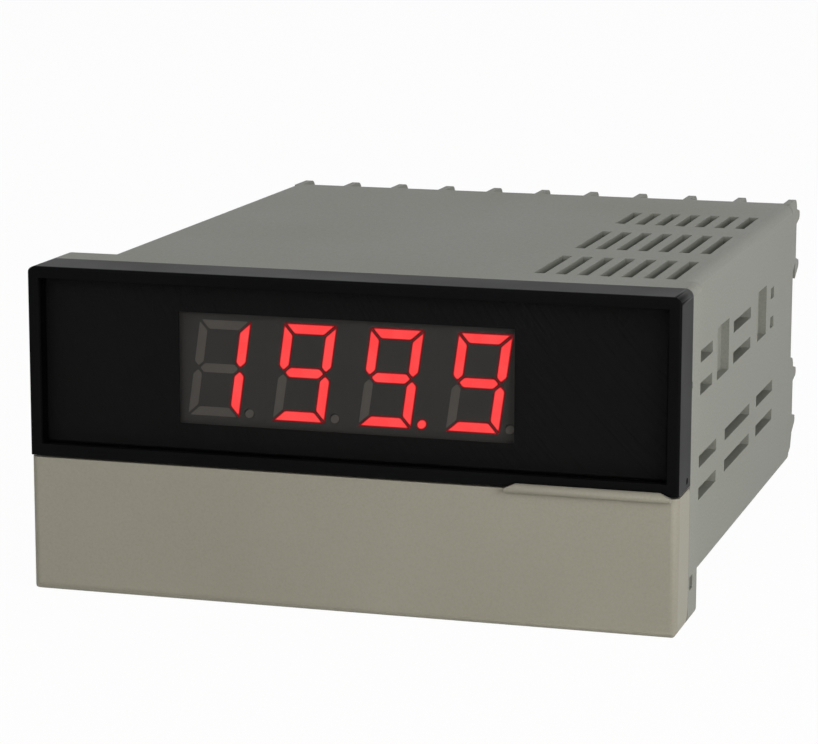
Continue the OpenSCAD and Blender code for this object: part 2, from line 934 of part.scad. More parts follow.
// Regulator bolted flat to a finned heat sink on the lower board
sink_x = 22;
sink_y = 72;
sink_w = 20;
sink_d = 9;
sink_h = 22;
sink_fins = 5;
sink_fin_t = 1.6;
sink_back_t = 2;

module heat_sink() {
    color("#a9abad") set_back() translate([sink_x, sink_y, board_tops[1]])
        linear_extrude(sink_h) {
            translate([-sink_w / 2, 0])
                square([sink_w, sink_back_t]);
            for (i = [0:sink_fins - 1])
                translate([-sink_w / 2 + i * (sink_w - sink_fin_t) / (sink_fins - 1), 0])
                    square([sink_fin_t, sink_d]);
        }
}

module regulator() {
    color("#2b2b2d") set_back() translate([sink_x, sink_y, board_tops[1]]) {
        translate([-5, -4.5, 3])
            cube([10, 4.5, 9]);
        translate([-5, -1.3, 12])
            cube([10, 1.3, 6.5]);
        for (i = [-1, 0, 1])
            translate([i * 2.54 - 0.4, -2.6, 0])
                cube([0.8, 0.6, 3]);
    }
}

// Two converter chips under the upper board, each body apart from its legs
chip_spots = [[-16, 40], [14, 40]];
chip_l = 24;
chip_w = 7.6;
chip_h = 3.4;

module converter_chips() {
    color("#1d1e20") set_back()
        for (spot = chip_spots)
            translate([spot[0] - chip_l / 2, spot[1] - chip_w / 2, board_tops[0] - board_t - 0.6 - chip_h])
                cube([chip_l, chip_w, chip_h]);
}

module converter_legs() {
    board_under = board_tops[0] - board_t;
    color(tinned) set_back()
        for (spot = chip_spots, side = [0, 1], i = [0:8])
            translate([spot[0] - 10.4 + i * 2.54, spot[1], 0])
                mirror([0, side, 0])
                    along_x(0, 0.5)
                        polygon([
                            [chip_w / 2, board_under - 2.6], [chip_w / 2 + 0.6, board_under - 2.6],
                            [chip_w / 2 + 0.9, board_under], [chip_w / 2 + 0.5, board_under],
                            [chip_w / 2 + 0.3, board_under - 2.1], [chip_w / 2, board_under - 2.1]
                        ]);
}

// ---- Terminals ----

// Rounded horn on a barrier's rear edge; lean tilts its lower flank
module horn(z, flank) {
    tip_y = case_d + barrier_out + horn_out - horn_r;
    root_y = case_d + barrier_out - 0.5;
    translate([tip_y, z])
        circle(r = horn_r);
    polygon([
        [root_y, z + 1.4], [tip_y + 0.2, z + horn_r * 0.95],
        [tip_y + 0.3, z - horn_r * 0.9], [root_y, z - flank]
    ]);
}

// Outline of a barrier below its top at z; foot lengthens the lower end
module barrier(z, foot) {
    rear = case_d + barrier_out;
    root = case_d - base_plate / 2;
    ease = 1.8;
    low = z - barrier_h - foot;
    translate([rear - ease, z - ease])
        circle(r = ease);
    polygon([
        [root, z], [rear - ease, z], [rear, z - ease], [rear, z - barrier_h + 3],
        [case_d + ease, z - barrier_h], [root, z - barrier_h]
    ]);
    horn(z - 3.1, 1.4);
    horn(z - 11.6, 2.2);
    if (foot > 0)
        polygon([
            [root, z - 11], [rear, z - 11], [rear, low + 3.2],
            [rear - 1, low + 1], [rear - 3.5, low], [root, low]
        ]);
}

module barriers() {
    foot = row_tops[1] - barrier_h - body_z0 - 0.4;
    for (i = [0:terminals])
        translate([(i - terminals / 2) * terminal_pitch, 0, 0])
            along_x(-barrier_t / 2, barrier_t / 2) {
                barrier(row_tops[0], 0);
                barrier(row_tops[1], foot);
            }
}

// Arm along one side of the plug with its two latches
module latch_arm() {
    arm_x = inner_w / 2 - slip - plug_wall;
    arm_z0 = latch_zs[0] - 1.4;
    arm_z1 = latch_zs[1] + 1.2;
    translate([arm_x, latch_y[0] - 1, arm_z0])
        cube([plug_wall, plug_y - latch_y[0] + 2, arm_z1 - arm_z0]);
    for (z = latch_zs)
        translate([0, 0, z - slot_h / 2 + 0.25])
            linear_extrude(slot_h - 0.5)
                polygon([
                    [arm_x + plug_wall - eps, latch_y[0] + 0.2],
                    [arm_x + plug_wall + 1.2, latch_y[1] - 0.9],
                    [arm_x + plug_wall + 1.2, latch_y[1] - 0.2],
                    [arm_x + plug_wall - eps, latch_y[1] - 0.2]
                ]);
}

module terminal_base() {
    plug_w = inner_w - 2 * slip;
    plug_h = inner_h - 2 * slip;
    color(housing_grey) set_back() difference() {
        union() {
            along_y(seam_y, case_d)
                translate([0, mid_z])
                    round_rect(body_w, body_h, body_r);
            difference() {
                along_y(plug_y, seam_y + eps)
                    translate([0, mid_z])
                        round_rect(plug_w, plug_h, inner_r);
                along_y(plug_y - eps, seam_y)
                    translate([0, mid_z])
                        square([plug_w - 2 * plug_wall, plug_h - 2 * plug_wall], center = true);
            }
            both_sides() latch_arm();
            for (x = terminal_xs, z = screw_zs)
                translate([x, 0, z])
                    rod_y(contact_y - screw_len - 0.8, seam_y + eps, boss_r);
            barriers();
        }
        for (x = terminal_xs, z = screw_zs)
            translate([x, 0, z])
                rod_y(contact_y - screw_len - 0.2, case_d + eps, screw_r + slip);
        for (x = terminal_xs, z = tab_zs)
            translate([x - tab_w / 2 - slip, seam_y - 1, z - tab_t / 2 - slip])
                cube([tab_w + 2 * slip, base_plate + 2, tab_t + 2 * slip]);
    }
}

// Contact plates of one row, each with a tab that runs through the base onto its board
module contacts(row) {
    color(tinned) set_back()
        for (x = terminal_xs) {
            difference() {
                translate([x, 0, screw_zs[row]])
                    along_y(case_d, contact_y)
                        round_rect(contact_w, contact_h, 0.4);
                translate([x, 0, screw_zs[row]])
                    rod_y(case_d - eps, contact_y + eps, screw_r + pin_play);
            }
            translate([x - tab_w / 2, board_y1 - 4, tab_zs[row] - tab_t / 2])
                cube([tab_w, case_d - board_y1 + 4 + eps, tab_t]);
        }
}

module contacts_upper() { contacts(0); }
module contacts_lower() { contacts(1); }

// Square clamp washers of one row, bent down along their upper and lower edges
module clamp_washers(row) {
    color(plated_steel) set_back()
        for (x = terminal_xs)
            translate([x, 0, screw_zs[row]])
                difference() {
                    along_y(contact_y, washer_y)
                        round_rect(washer_w, washer_w, 0.6);
                    rod_y(contact_y - eps, washer_y + eps, screw_r + slip);
                }
}

module clamp_washers_upper() { clamp_washers(0); }
module clamp_washers_lower() { clamp_washers(1); }

// Pan head with a domed top and a cross recess
module screw_head() {
    dome_r = 5.2;
    recess_w = 0.75;
    recess_d = 1.2;
    difference() {
        intersection() {
            rod_y(washer_y, washer_y + screw_head_h, screw_head_r);
            translate([0, washer_y + screw_head_h - dome_r, 0])
                sphere(r = dome_r);
        }
        for (turn = [0, 90])
            rotate([0, turn, 0])
                translate([-screw_head_r * 0.62, washer_y + screw_head_h - recess_d, -recess_w / 2])
                    cube([screw_head_r * 1.24, recess_d + 1, recess_w]);
    }
}

module terminal_screws(row) {
    color(plated_steel) set_back()
        for (x = terminal_xs)
            translate([x, 0, screw_zs[row]]) {
                rod_y(contact_y - screw_len + 0.2, washer_y + eps, screw_r);
                screw_head();
            }
}

module terminal_screws_upper() { terminal_screws(0); }
module terminal_screws_lower() { terminal_screws(1); }

// ---- Assembly ----

housing();
front_frame();
display_window();
window_mask();
setting_cover();
key_mode();
key_shift();
key_down();
key_up();
plunger_mode();
plunger_shift();
plunger_down();
plunger_up();
key_switches();
display_board();
board_screws();
led_digit_1();
led_digit_2();
led_digit_3();
led_digit_4();
lit_segments();
unlit_segments();
digit_pins();
processor_chip();
lower_board();
upper_board();
link_headers();
link_pins();
transformer_core();
transformer_bobbin();
transformer_winding();
filter_capacitors();
regulator();
heat_sink();
converter_chips();
converter_legs();
terminal_base();
contacts_upper();
contacts_lower();
clamp_washers_upper();
clamp_washers_lower();
terminal_screws_upper();
terminal_screws_lower();
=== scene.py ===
import math
import bmesh
import bpy
from mathutils import Matrix, Vector


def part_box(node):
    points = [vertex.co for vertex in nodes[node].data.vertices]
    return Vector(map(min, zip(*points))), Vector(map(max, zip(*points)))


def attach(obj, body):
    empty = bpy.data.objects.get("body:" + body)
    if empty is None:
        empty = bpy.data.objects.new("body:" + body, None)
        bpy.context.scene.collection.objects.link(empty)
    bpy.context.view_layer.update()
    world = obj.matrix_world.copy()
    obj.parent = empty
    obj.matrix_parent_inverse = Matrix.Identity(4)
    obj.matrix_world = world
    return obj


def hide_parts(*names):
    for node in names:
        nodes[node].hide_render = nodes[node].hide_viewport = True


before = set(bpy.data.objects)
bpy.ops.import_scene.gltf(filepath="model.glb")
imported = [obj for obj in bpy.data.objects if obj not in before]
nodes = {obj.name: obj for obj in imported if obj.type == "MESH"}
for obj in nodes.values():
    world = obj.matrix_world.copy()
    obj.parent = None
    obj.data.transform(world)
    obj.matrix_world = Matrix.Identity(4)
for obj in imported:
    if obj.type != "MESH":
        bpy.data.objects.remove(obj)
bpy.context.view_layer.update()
mm = 0.001


def say(stage):
    print("panel meter:", stage)


# nodes and colours

def linear(hexColour):
    # sRGB hex to the linear values that the shaders want
    channels = [int(hexColour[i:i + 2], 16) / 255 for i in (0, 2, 4)]
    values = [c / 12.92 if c <= 0.04045 else ((c + 0.055) / 1.055) ** 2.4 for c in channels]
    return (*values, 1.0)


def addNode(tree, kind, inputs=None, **settings):
    # one node with its settings; an input given as a socket is linked, anything else is its value
    node = tree.nodes.new(kind)
    for name, value in settings.items():
        setattr(node, name, value)
    for name, value in (inputs or {}).items():
        socket = node.inputs[name]
        if isinstance(value, bpy.types.NodeSocket):
            tree.links.new(value, socket)
        else:
            socket.default_value = value
    return node


def newMaterial(name):
    material = bpy.data.materials.new(name)
    material.use_nodes = True
    tree = material.node_tree
    tree.nodes.clear()
    output = addNode(tree, "ShaderNodeOutputMaterial")
    return material, tree, output


def objectPoint(tree):
    return addNode(tree, "ShaderNodeTexCoord").outputs["Object"]


def rampBetween(tree, factor, stops):
    ramp = addNode(tree, "ShaderNodeValToRGB", {"Fac": factor})
    elements = ramp.color_ramp.elements
    while len(elements) < len(stops):
        elements.new(0.5)
    for element, (place, colour) in zip(elements, stops):
        element.position = place
        element.color = colour
    return ramp.outputs["Color"]


# where the noise turns from dark to pale, how far the gloss strays below and above its roughness
grading = {"cloud": (0.3, 0.7), "speck": (0.25, 0.62), "plasticGloss": (0.04, 0.05),
           "plasticIor": 1.5, "metalGloss": (0.08, 0.12), "metalBump": 0.2}


# ABS from a spark-eroded mould: an even fine grain, slightly uneven gloss and a dull sheen
def mouldedPlastic(name, finish):
    material, tree, output = newMaterial(name)
    point = objectPoint(tree)
    grain = addNode(tree, "ShaderNodeTexNoise", {
        "Vector": point, "Scale": 1 / (finish["grainMm"] * mm), "Detail": 2.0, "Roughness": 0.6})
    cloud = addNode(tree, "ShaderNodeTexNoise", {
        "Vector": point, "Scale": 1 / (finish["cloudMm"] * mm), "Detail": 3.0, "Roughness": 0.55})
    colour = rampBetween(tree, cloud.outputs["Fac"], [
        (grading["cloud"][0], linear(finish["dark"])),
        (grading["cloud"][1], linear(finish["pale"]))])
    speck = rampBetween(tree, grain.outputs["Fac"], [
        (grading["speck"][0], linear(finish["speck"])), (grading["speck"][1], (1, 1, 1, 1))])
    mixed = addNode(tree, "ShaderNodeMix", {"Factor": finish["speckled"], "A": colour, "B": speck},
                    data_type="RGBA", blend_type="MULTIPLY")
    gloss = addNode(tree, "ShaderNodeMapRange", {
        "Value": cloud.outputs["Fac"], "From Min": grading["cloud"][0],
        "From Max": grading["cloud"][1], "To Min": finish["roughness"] - grading["plasticGloss"][0],
        "To Max": finish["roughness"] + grading["plasticGloss"][1]})
    bump = addNode(tree, "ShaderNodeBump", {
        "Height": grain.outputs["Fac"], "Strength": finish["bump"],
        "Distance": finish["depthMm"] * mm})
    shader = addNode(tree, "ShaderNodeBsdfPrincipled", {
        "Base Color": mixed.outputs["Result"], "Roughness": gloss.outputs["Result"],
        "Normal": bump.outputs["Normal"], "IOR": grading["plasticIor"],
        "Specular IOR Level": finish.get("specular", 0.5)})
    tree.links.new(shader.outputs["BSDF"], output.inputs["Surface"])
    return material


say("materials")

plasticFinishes = {
    "greyAbs": {"dark": "8b8c84", "pale": "92938a", "speck": "c9c9c4", "speckled": 0.35,
                "grainMm": 0.35, "cloudMm": 30, "roughness": 0.55, "bump": 0.25, "depthMm": 0.02,
                "specular": 0.15},
    "beigeAbs": {"dark": "969284", "pale": "9b9789", "speck": "cfccc4", "speckled": 0.2,
                 "grainMm": 0.35, "cloudMm": 30, "roughness": 0.5, "bump": 0.2, "depthMm": 0.02,
                 "specular": 0.2},
    "blackAbs": {"dark": "0f0f10", "pale": "121213", "speck": "a0a0a0", "speckled": 0.2,
                 "grainMm": 0.5, "cloudMm": 25, "roughness": 0.34, "bump": 0.05, "depthMm": 0.01,
                 "specular": 0.012},
    "maskPrint": {"dark": "0b0b0c", "pale": "0d0d0e", "speck": "a0a0a0", "speckled": 0.2,
                  "grainMm": 0.2, "cloudMm": 20, "roughness": 0.7, "bump": 0.05, "depthMm": 0.005,
                  "specular": 0.2},
    "keyRubber": {"dark": "4b4c4f", "pale": "525356", "speck": "909090", "speckled": 0.3,
                  "grainMm": 0.2, "cloudMm": 8, "roughness": 0.6, "bump": 0.2, "depthMm": 0.02},
    "redPlunger": {"dark": "a02820", "pale": "b03228", "speck": "b0b0b0", "speckled": 0.2,
                   "grainMm": 0.2, "cloudMm": 4, "roughness": 0.4, "bump": 0.1, "depthMm": 0.01},
    "blackResin": {"dark": "1d1e20", "pale": "242527", "speck": "808080", "speckled": 0.4,
                   "grainMm": 0.15, "cloudMm": 6, "roughness": 0.55, "bump": 0.3, "depthMm": 0.01},
    "greyFacePaint": {"dark": "6c6c6b", "pale": "717170", "speck": "a0a0a0", "speckled": 0.3,
                      "grainMm": 0.15, "cloudMm": 12, "roughness": 0.6, "bump": 0.1,
                      "depthMm": 0.01},
    "bobbinNylon": {"dark": "1c2836", "pale": "22303f", "speck": "909090", "speckled": 0.3,
                    "grainMm": 0.3, "cloudMm": 8, "roughness": 0.5, "bump": 0.15, "depthMm": 0.02},
    "windingTape": {"dark": "b98a1c", "pale": "c99a28", "speck": "b0a080", "speckled": 0.3,
                    "grainMm": 0.4, "cloudMm": 5, "roughness": 0.35, "bump": 0.15, "depthMm": 0.03},
    "capSleeve": {"dark": "14161d", "pale": "1b1e27", "speck": "909090", "speckled": 0.3,
                  "grainMm": 0.3, "cloudMm": 8, "roughness": 0.3, "bump": 0.1, "depthMm": 0.01},
    "boardLacquer": {"dark": "1f5a31", "pale": "28683a", "speck": "90a090", "speckled": 0.5,
                     "grainMm": 0.5, "cloudMm": 10, "roughness": 0.35, "bump": 0.15,
                     "depthMm": 0.02},
    "unlitResin": {"dark": "a39f9a", "pale": "aaa6a1", "speck": "b0b0b0", "speckled": 0.2,
                   "grainMm": 0.15, "cloudMm": 5, "roughness": 0.45, "bump": 0.05, "depthMm": 0.01},
}
finishes = {name: mouldedPlastic(name, values) for name, values in plasticFinishes.items()}


# rolled or turned metal: fine scratches along the work, uneven plating
def workedMetal(name, finish):
    material, tree, output = newMaterial(name)
    point = objectPoint(tree)
    cloud = addNode(tree, "ShaderNodeTexNoise", {
        "Vector": point, "Scale": 1 / (finish["cloudMm"] * mm), "Detail": 3.0})
    stretched = addNode(tree, "ShaderNodeMapping", {"Vector": point, "Scale": finish["stretch"]})
    lines = addNode(tree, "ShaderNodeTexNoise", {
        "Vector": stretched.outputs["Vector"], "Scale": 1 / (finish["lineMm"] * mm), "Detail": 2.0})
    colour = rampBetween(tree, cloud.outputs["Fac"], [
        (grading["cloud"][0], linear(finish["dark"])),
        (grading["cloud"][1], linear(finish["pale"]))])
    gloss = addNode(tree, "ShaderNodeMapRange", {
        "Value": lines.outputs["Fac"], "To Min": finish["roughness"] - grading["metalGloss"][0],
        "To Max": finish["roughness"] + grading["metalGloss"][1]})
    bump = addNode(tree, "ShaderNodeBump", {
        "Height": lines.outputs["Fac"], "Strength": grading["metalBump"],
        "Distance": finish["depthMm"] * mm})
    shader = addNode(tree, "ShaderNodeBsdfPrincipled", {
        "Base Color": colour, "Roughness": gloss.outputs["Result"], "Metallic": 1.0,
        "Normal": bump.outputs["Normal"]})
    tree.links.new(shader.outputs["BSDF"], output.inputs["Surface"])
    return material


metalFinishes = {
    "tinnedBrass": {"dark": "b4b3ab", "pale": "cbcac4", "cloudMm": 3, "lineMm": 0.2,
                    "stretch": (1, 0.2, 1), "roughness": 0.35, "depthMm": 0.005},
    "platedSteel": {"dark": "b3b1a8", "pale": "c8c6bd", "cloudMm": 2, "lineMm": 0.15,
                    "stretch": (1, 0.3, 1), "roughness": 0.3, "depthMm": 0.005},
    "coreLaminations": {"dark": "47494c", "pale": "5b5d60", "cloudMm": 4, "lineMm": 0.5,
                        "stretch": (0.02, 1, 0.02), "roughness": 0.45, "depthMm": 0.05},
    "extrudedAluminium": {"dark": "a4a6a8", "pale": "bcbec0", "cloudMm": 6, "lineMm": 0.2,
                          "stretch": (1, 1, 0.05), "roughness": 0.4, "depthMm": 0.01},
}
finishes.update({name: workedMetal(name, values) for name, values in metalFinishes.items()})


# cast acrylic with a smoke tint: clear inside, polished outside
def smokedAcrylic(values):
    material, tree, output = newMaterial("smokedAcrylic")
    point = objectPoint(tree)
    haze = addNode(tree, "ShaderNodeTexNoise",
                   {"Vector": point, "Scale": 1 / (values["hazeMm"] * mm), "Detail": 2.0})
    gloss = addNode(tree, "ShaderNodeMapRange", {
        "Value": haze.outputs["Fac"], "To Min": values["roughness"],
        "To Max": values["roughness"] + values["duller"]})
    bump = addNode(tree, "ShaderNodeBump", {
        "Height": haze.outputs["Fac"], "Strength": values["bump"],
        "Distance": values["depthMm"] * mm})
    clear = addNode(tree, "ShaderNodeBsdfTransparent", {"Color": linear(values["tint"])})
    surface = addNode(tree, "ShaderNodeBsdfPrincipled", {
        "Base Color": linear(values["body"]), "Roughness": gloss.outputs["Result"],
        "Specular IOR Level": values["specular"], "IOR": values["ior"],
        "Normal": bump.outputs["Normal"]})
    mixed = addNode(tree, "ShaderNodeMixShader", {
        "Fac": values["opacity"], 1: clear.outputs["BSDF"], 2: surface.outputs["BSDF"]})
    tree.links.new(mixed.outputs["Shader"], output.inputs["Surface"])
    return material


acrylic = {"tint": "dcdbda", "body": "050506", "roughness": 0.08, "duller": 0.05, "specular": 0.16,
           "ior": 1.49, "opacity": 0.06, "hazeMm": 12, "bump": 0.02, "depthMm": 0.02}
finishes["smokedAcrylic"] = smokedAcrylic(acrylic)


# diffusing red epoxy lit from behind: it glows evenly in the middle of a bar and fades out
# near the bar's walls
resin = {"cloudMm": 2.5, "cloud": (0.35, 0.65), "bump": 0.1, "depthMm": 0.01, "roughness": 0.4}


def glowingResin(name, zone):
    material, tree, output = newMaterial(name)
    point = objectPoint(tree)
    cloud = addNode(tree, "ShaderNodeTexNoise", {
        "Vector": point, "Scale": 1 / (resin["cloudMm"] * mm), "Detail": 1.0})
    colour = rampBetween(tree, cloud.outputs["Fac"], [
        (resin["cloud"][0], linear(zone["dim"])), (resin["cloud"][1], linear(zone["bright"]))])
    bump = addNode(tree, "ShaderNodeBump", {
        "Height": cloud.outputs["Fac"], "Strength": resin["bump"],
        "Distance": resin["depthMm"] * mm})
    shader = addNode(tree, "ShaderNodeBsdfPrincipled", {
        "Base Color": linear(zone["body"]), "Roughness": resin["roughness"],
        "Emission Color": colour, "Emission Strength": zone["strength"],
        "Normal": bump.outputs["Normal"]})
    tree.links.new(shader.outputs["BSDF"], output.inputs["Surface"])
    return material


glowZones = {
    "glowingCore": {"dim": "ff4345", "bright": "ff4c4d", "body": "8a1a16", "strength": 2.2},
    "glowingShoulder": {"dim": "ff3038", "bright": "ff3840", "body": "70140f", "strength": 1.0},
    "glowingWall": {"dim": "ff1c2c", "bright": "ff2434", "body": "50100c", "strength": 0.3},
}
finishes.update({name: glowingResin(name, zone) for name, zone in glowZones.items()})

# finishes and eased edges of the CAD pieces, each with the width of its easing in mm

say("finishes")

nodeFinishes = {
    "housing": ("greyAbs", 0.18), "terminal_base": ("greyAbs", 0.12),
    "front_frame": ("blackAbs", 0.2), "display_window": ("smokedAcrylic", 0.12),
    "window_mask": ("maskPrint", 0), "setting_cover": ("beigeAbs", 0.2),
    "key_switches": ("blackResin", 0.1), "display_board": ("boardLacquer", 0),
    "board_screws": ("platedSteel", 0.1), "lit_segments": ("glowingCore", 0),
    "unlit_segments": ("unlitResin", 0), "digit_pins": ("tinnedBrass", 0),
    "processor_chip": ("blackResin", 0), "lower_board": ("boardLacquer", 0),
    "upper_board": ("boardLacquer", 0), "link_headers": ("blackResin", 0.1),
    "link_pins": ("tinnedBrass", 0), "transformer_core": ("coreLaminations", 0.1),
    "transformer_bobbin": ("bobbinNylon", 0.1), "transformer_winding": ("windingTape", 0.3),
    "filter_capacitors": ("capSleeve", 0), "regulator": ("blackResin", 0.1),
    "heat_sink": ("extrudedAluminium", 0.1), "converter_chips": ("blackResin", 0.1),
    "converter_legs": ("tinnedBrass", 0), "contacts_upper": ("tinnedBrass", 0.1),
    "contacts_lower": ("tinnedBrass", 0.1), "clamp_washers_upper": ("platedSteel", 0.1),
    "clamp_washers_lower": ("platedSteel", 0.1), "terminal_screws_upper": ("platedSteel", 0.08),
    "terminal_screws_lower": ("platedSteel", 0.08),
}
for key in ("mode", "shift", "down", "up"):
    nodeFinishes["key_" + key] = ("keyRubber", 0.15)
    nodeFinishes["plunger_" + key] = ("redPlunger", 0.1)
for digit in range(1, 5):
    nodeFinishes["led_digit_%d" % digit] = ("greyFacePaint", 0)


edges = {"weldMm": 0.002, "flatDegrees": 1.0, "sharpDegrees": 35, "segments": 2}


def easeEdges(piece, width):
    # joins the loose triangles, clears the flat faces and rounds what is left
    weld = piece.modifiers.new("joinFaces", "WELD")
    weld.merge_threshold = edges["weldMm"] * mm
    flatten = piece.modifiers.new("clearFlats", "DECIMATE")
    flatten.decimate_type = "DISSOLVE"
    flatten.angle_limit = math.radians(edges["flatDegrees"])
    ease = piece.modifiers.new("easeEdges", "BEVEL")
    ease.width = width * mm
    ease.segments = edges["segments"]
    ease.limit_method = "ANGLE"
    ease.angle_limit = math.radians(edges["sharpDegrees"])
    ease.use_clamp_overlap = True
    ease.harden_normals = False


for name, (finish, width) in nodeFinishes.items():
    piece = nodes[name]
    if len(piece.material_slots) == 0:
        piece.data.materials.append(finishes[finish])
    for slot in piece.material_slots:
        slot.material = finishes[finish]
    if width:
        easeEdges(piece, width)

# the digits, the joints between them and the print on the lens

say("display")


def placePiece(name, shape, materials, body, slot, *nodesReplaced):
    # a finished mesh becomes a piece that rides on its body
    bmesh.ops.recalc_face_normals(shape, faces=shape.faces)
    mesh = bpy.data.meshes.new(name)
    shape.to_mesh(mesh)
    shape.free()
    for material in materials:
        mesh.materials.append(material)
    piece = bpy.data.objects.new(name, mesh)
    bpy.context.scene.collection.objects.link(piece)
    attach(piece, body)
    if nodesReplaced:
        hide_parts(*nodesReplaced)


# seven-segment characters, sizes in mm and the slant in degrees
characters = {"height": 14.2, "width": 7.8, "bar": 1.5, "gap": 0.3, "slant": 8, "pitch": 12.85,
              "shift": -0.6, "corner": 0.16, "cornerSteps": 3, "pointRadius": 0.72,
              "pointAside": 4.55, "pointSides": 24, "depth": 0.9, "step": 0.02}
# a lit bar's glow spreads a little beyond its walls
glowingCharacters = {**characters, "height": 14.4, "width": 8.05, "bar": 1.72, "gap": 0.14,
                     "corner": 0.22, "pointRadius": 0.82}
shownDigits = "1999"
pointAfter = 3
segmentsOf = {"1": "bc", "9": "abcdfg"}


def barOutline(name, values):
    # outline of a segment around the middle of its character, upright
    halfW, halfH = values["width"] / 2, values["height"] / 2
    bar, gap = values["bar"], values["gap"] / 2
    tip = bar / 2
    flat = [(-halfW + gap, halfH), (halfW - gap, halfH), (halfW - bar - gap, halfH - bar),
            (-halfW + bar + gap, halfH - bar)]
    side = [(halfW, halfH - gap), (halfW - bar, halfH - bar - gap), (halfW - bar, tip + gap),
            (halfW - tip, gap), (halfW, tip + gap)]
    middle = [(-halfW + tip + gap, 0), (-halfW + bar + gap, tip), (halfW - bar - gap, tip),
              (halfW - tip - gap, 0), (halfW - bar - gap, -tip), (-halfW + bar + gap, -tip)]
    outline, flipX, flipZ = {"a": (flat, 1, 1), "b": (side, 1, 1), "c": (side, 1, -1),
                             "d": (flat, 1, -1), "e": (side, -1, -1), "f": (side, -1, 1),
                             "g": (middle, 1, 1)}[name]
    return [(x * flipX, z * flipZ) for x, z in outline]


def addBar(shape, outline, values, zones, front):
    # a bar of resin: one plate for each zone, smaller and a hair further forward than the one
    # around it; only a bar's corners are rounded, the point is round already
    inset = 0
    for index, width in enumerate(zones):
        inset += width
        back = front - (index - 1) * values["step"] if index else front + values["depth"]
        plate = bmesh.new()
        plate.faces.new([plate.verts.new((x, back, z)) for x, z in outline])
        plate.normal_update()
        if inset:
            ring = bmesh.ops.inset_region(plate, faces=plate.faces[:], thickness=inset, depth=0,
                                          use_boundary=True, use_even_offset=True)
            bmesh.ops.delete(plate, geom=ring["faces"], context="FACES")
        if len(outline) < values["pointSides"]:
            bmesh.ops.bevel(plate, geom=plate.verts[:], offset=values["corner"],
                            offset_type="OFFSET", segments=values["cornerSteps"], profile=0.5,
                            affect="VERTICES", material=-1)
        drawn = bmesh.ops.extrude_face_region(plate, geom=plate.faces[:], use_keep_orig=True)
        moved = [v for v in drawn["geom"] if isinstance(v, bmesh.types.BMVert)]
        bmesh.ops.translate(plate, verts=moved, vec=(0, front - index * values["step"] - back, 0))
        for face in plate.faces:
            face.material_index = index
        bmesh.ops.recalc_face_normals(plate, faces=plate.faces)
        single = bpy.data.meshes.new("plate")
        plate.to_mesh(single)
        plate.free()
        shape.from_mesh(single)
        bpy.data.meshes.remove(single)


def makeCharacters(name, lit, values, zones, materials, node):
    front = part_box("lit_segments")[0][1] / mm - values["step"]
    lowest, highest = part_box("lit_segments")
    middleZ = (lowest[2] + highest[2]) / 2 / mm
    lean = math.tan(math.radians(values["slant"]))
    shape = bmesh.new()
    for index, digit in enumerate(shownDigits):
        middleX = (index - (len(shownDigits) - 1) / 2) * values["pitch"] + values["shift"]
        outlines = [barOutline(bar,
                               values) for bar in "abcdefg" if (bar in segmentsOf[digit]) == lit]
        if (index + 1 == pointAfter) == lit:
            sides = values["pointSides"]
            turns = [math.radians(360 / sides * step) for step in range(sides)]
            pointZ = characters["pointRadius"] - characters["height"] / 2
            pointX = values["pointAside"] - pointZ * lean
            outlines.append([(pointX + values["pointRadius"] * math.cos(turn),
                              pointZ + values["pointRadius"] * math.sin(turn)) for turn in turns])
        for outline in outlines:
            placed = [(middleX + x + z * lean, middleZ + z) for x, z in outline]
            addBar(shape, placed, values, zones, front)
    bmesh.ops.scale(shape, vec=(mm, mm, mm), verts=shape.verts)
    placePiece(name, shape, materials, "case", node["slot"], node["name"])


makeCharacters("lit_bars", True, glowingCharacters, [0, 0.16, 0.08],
               [finishes["glowingWall"], finishes["glowingShoulder"], finishes["glowingCore"]],
               {"slot": "lit_resin", "name": "lit_segments"})
makeCharacters("unlit_bars", False, characters, [0, 0.1],
               [finishes["greyFacePaint"], finishes["unlitResin"]],
               {"slot": "unlit_resin", "name": "unlit_segments"})

# strips of the same grey paint that close the joints between the modules, in mm
joints = {"thick": 0.8, "margin": 0.9, "seam": 0.14, "ease": 0.03}


def makeJoints(values):
    lowest, highest = [[c / mm for c in corner] for corner in (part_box("led_digit_1")[0],
                                                               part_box("led_digit_4")[1])]
    middle = (lowest[0] + highest[0]) / 2
    places = [(middle + step * characters["pitch"], values["seam"]) for step in (-1, 0, 1)]
    places += [(lowest[0] - values["margin"] / 2, values["margin"]),
               (highest[0] + values["margin"] / 2, values["margin"])]
    shape = bmesh.new()
    for x, width in places:
        strip = bmesh.ops.create_cube(shape, size=1)["verts"]
        bmesh.ops.scale(shape, vec=(width, values["thick"], highest[2] - lowest[2]), verts=strip)
        bmesh.ops.translate(shape, vec=(x, lowest[1] + values["thick"] / 2,
                                        (lowest[2] + highest[2]) / 2), verts=strip)
    bmesh.ops.bevel(shape, geom=shape.edges[:], offset=values["ease"], segments=1, profile=0.5,
                    affect="EDGES", material=-1)
    bmesh.ops.scale(shape, vec=(mm, mm, mm), verts=shape.verts)
    placePiece("module_joints", shape, [finishes["greyFacePaint"]], "case", "digit_plastic")


makeJoints(joints)

# the black print on the back of the lens, with its clear rectangle, in mm
maskWindow = {"width": 49.7, "height": 16.3, "middleX": -0.78, "middleZ": 33.93}


